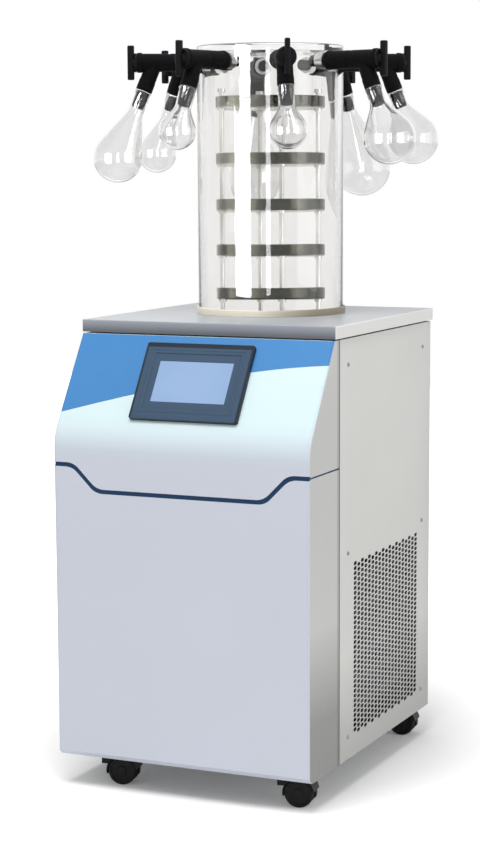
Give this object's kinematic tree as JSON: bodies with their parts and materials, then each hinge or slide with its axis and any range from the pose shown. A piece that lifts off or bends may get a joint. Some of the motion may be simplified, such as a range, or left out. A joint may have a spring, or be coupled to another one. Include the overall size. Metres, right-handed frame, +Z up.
{
  "type": "freeze dryer",
  "caption": "Floor-standing laboratory freeze dryer: cabinet on casters with a slanted touch panel, clear shelf chamber and a ring of flask valves.",
  "frame": {"origin": "middle of the whole object's box, on the floor under the casters", "axes": "+Z up, -Y towards the user at the slanted panel, +X to the user's right"},
  "size_m": [0.5921, 0.7086, 1.275],
  "materials": {
    "fascia_white": "smooth light enamel, faintly blue white",
    "body_grey": "fine-textured light grey powder coat",
    "stainless": "brushed stainless sheet",
    "pan_steel": "zinc-plated sheet",
    "stripe_navy": "dark blue moulded strip",
    "panel_blue": "mid-blue film",
    "bezel_slate": "dark slate moulded plastic",
    "screen_blue": "pale blue lit display behind glass",
    "screw_steel": "plated screw heads",
    "copper": "bare copper tube",
    "foam": "foamed insulation",
    "compressor_black": "black enamel",
    "fin_aluminium": "thin fins",
    "motor_black": "moulded black",
    "case_grey": "moulded grey",
    "inlet_black": "moulded black",
    "switch_red": "red rocker",
    "valve_brass": "plated brass",
    "gasket_cream": "cream silicone",
    "clear_acrylic": "polished clear acrylic",
    "nut_metal": "turned light metal",
    "rack_steel": "polished stainless rod",
    "tray_steel": "polished stainless tray",
    "rubber_black": "moulded black rubber",
    "knob_black": "moulded black plastic",
    "clear_glass": "blown clear glass",
    "caster_black": "moulded black nylon",
    "wheel_black": "black tread"
  },
  "bodies": {
    "cabinet": {"acrylic_chamber": "clear_acrylic", "back_panel": "body_grey", "base_pan": "pan_steel", "blue_overlay": "panel_blue", "caster_plates": "pan_steel", "chamber_gasket": "gasket_cream", "cold_trap": "stainless", "compressor": "compressor_black", "condenser": "fin_aluminium", "control_box": "case_grey", "drain_valve": "valve_brass", "fan_motor": "motor_black", "flask_1": "clear_glass", "flask_2": "clear_glass", "flask_3": "clear_glass", "flask_4": "clear_glass", "flask_5": "clear_glass", "flask_6": "clear_glass", "flask_7": "clear_glass", "flask_8": "clear_glass", "left_side_panel": "body_grey", "lower_front_panel": "fascia_white", "panel_screws": "screw_steel", "port_fittings": "nut_metal", "power_inlet": "inlet_black", "right_side_panel": "body_grey", "screen_bezel": "bezel_slate", "screen_glass": "screen_blue", "shelf_1": "tray_steel", "shelf_2": "tray_steel", "shelf_3": "tray_steel", "shelf_4": "tray_steel", "shelf_5": "tray_steel", "shelf_rack": "rack_steel", "stripe_strip": "stripe_navy", "top_plate": "stainless", "trap_coil": "copper", "trap_insulation": "foam", "upper_fascia": "fascia_white", "vacuum_port": "stainless", "valve_bodies": "rubber_black"},
    "valve_1": {"valve_handle_1": "knob_black"},
    "valve_2": {"valve_handle_2": "knob_black"},
    "valve_3": {"valve_handle_3": "knob_black"},
    "valve_4": {"valve_handle_4": "knob_black"},
    "valve_5": {"valve_handle_5": "knob_black"},
    "valve_6": {"valve_handle_6": "knob_black"},
    "valve_7": {"valve_handle_7": "knob_black"},
    "valve_8": {"valve_handle_8": "knob_black"},
    "fan": {"fan_rotor": "motor_black"},
    "drain_handle": {"drain_lever": "stainless"},
    "rocker": {"power_switch": "switch_red"},
    "caster_1": {"caster_fork_1": "caster_black"},
    "wheels_1": {"caster_wheels_1": "wheel_black"},
    "caster_2": {"caster_fork_2": "caster_black"},
    "wheels_2": {"caster_wheels_2": "wheel_black"},
    "caster_3": {"caster_fork_3": "caster_black"},
    "wheels_3": {"caster_wheels_3": "wheel_black"},
    "caster_4": {"caster_fork_4": "caster_black"},
    "wheels_4": {"caster_wheels_4": "wheel_black"}
  },
  "joints": [
    {"name": "valve_1_turn", "type": "hinge", "parent": "cabinet", "child": "valve_1", "pos_m": [0.11978, -0.17367, 1.245], "axis": [0.5075, -0.8616, 0], "range_deg": [0, 180]},
    {"name": "valve_2_turn", "type": "hinge", "parent": "cabinet", "child": "valve_2", "pos_m": [0.22848, -0.02941, 1.245], "axis": [0.9681, -0.2504, 0], "range_deg": [0, 180]},
    {"name": "valve_3_turn", "type": "hinge", "parent": "cabinet", "child": "valve_3", "pos_m": [0.20334, 0.14946, 1.245], "axis": [0.8616, 0.5075, 0], "range_deg": [0, 180]},
    {"name": "valve_4_turn", "type": "hinge", "parent": "cabinet", "child": "valve_4", "pos_m": [0.05909, 0.25816, 1.245], "axis": [0.2504, 0.9681, 0], "range_deg": [0, 180]},
    {"name": "valve_5_turn", "type": "hinge", "parent": "cabinet", "child": "valve_5", "pos_m": [-0.11978, 0.23302, 1.245], "axis": [-0.5075, 0.8616, 0], "range_deg": [0, 180]},
    {"name": "valve_6_turn", "type": "hinge", "parent": "cabinet", "child": "valve_6", "pos_m": [-0.22849, 0.08877, 1.245], "axis": [-0.9681, 0.2504, 0], "range_deg": [0, 180]},
    {"name": "valve_7_turn", "type": "hinge", "parent": "cabinet", "child": "valve_7", "pos_m": [-0.20335, -0.0901, 1.245], "axis": [-0.8616, -0.5075, 0], "range_deg": [0, 180]},
    {"name": "valve_8_turn", "type": "hinge", "parent": "cabinet", "child": "valve_8", "pos_m": [-0.05909, -0.1988, 1.245], "axis": [-0.2504, -0.9681, 0], "range_deg": [0, 180]},
    {"name": "fan_spin", "type": "hinge", "parent": "cabinet", "child": "fan", "pos_m": [0.164, -0.00132, 0.235], "axis": [1, 0, 0], "continuous": true},
    {"name": "drain_lever_turn", "type": "hinge", "parent": "cabinet", "child": "drain_handle", "pos_m": [0, 0.24768, 0.45], "axis": [0, 0, 1], "range_deg": [0, 90]},
    {"name": "switch_rock", "type": "hinge", "parent": "cabinet", "child": "rocker", "pos_m": [-0.15, 0.21968, 0.185], "axis": [1, 0, 0], "range_deg": [-16, 0]},
    {"name": "caster_1_swivel", "type": "hinge", "parent": "cabinet", "child": "caster_1", "pos_m": [0.167, -0.30132, 0.0565], "axis": [0, 0, 1], "continuous": true},
    {"name": "wheels_1_spin", "type": "hinge", "parent": "caster_1", "child": "wheels_1", "pos_m": [0.19572, -0.29729, 0.025], "axis": [-0.1392, 0.9903, 0], "continuous": true},
    {"name": "caster_2_swivel", "type": "hinge", "parent": "cabinet", "child": "caster_2", "pos_m": [-0.167, -0.30132, 0.0565], "axis": [0, 0, 1], "continuous": true},
    {"name": "wheels_2_spin", "type": "hinge", "parent": "caster_2", "child": "wheels_2", "pos_m": [-0.13844, -0.29629, 0.025], "axis": [-0.1736, 0.9848, 0], "continuous": true},
    {"name": "caster_3_swivel", "type": "hinge", "parent": "cabinet", "child": "caster_3", "pos_m": [0.167, 0.19468, 0.0565], "axis": [0, 0, 1], "continuous": true},
    {"name": "wheels_3_spin", "type": "hinge", "parent": "caster_3", "child": "wheels_3", "pos_m": [0.19584, 0.19771, 0.025], "axis": [-0.1045, 0.9945, 0], "continuous": true},
    {"name": "caster_4_swivel", "type": "hinge", "parent": "cabinet", "child": "caster_4", "pos_m": [-0.167, 0.19468, 0.0565], "axis": [0, 0, 1], "continuous": true},
    {"name": "wheels_4_spin", "type": "hinge", "parent": "caster_4", "child": "wheels_4", "pos_m": [-0.13886, 0.18766, 0.025], "axis": [0.2419, 0.9703, 0], "continuous": true}
  ]
}
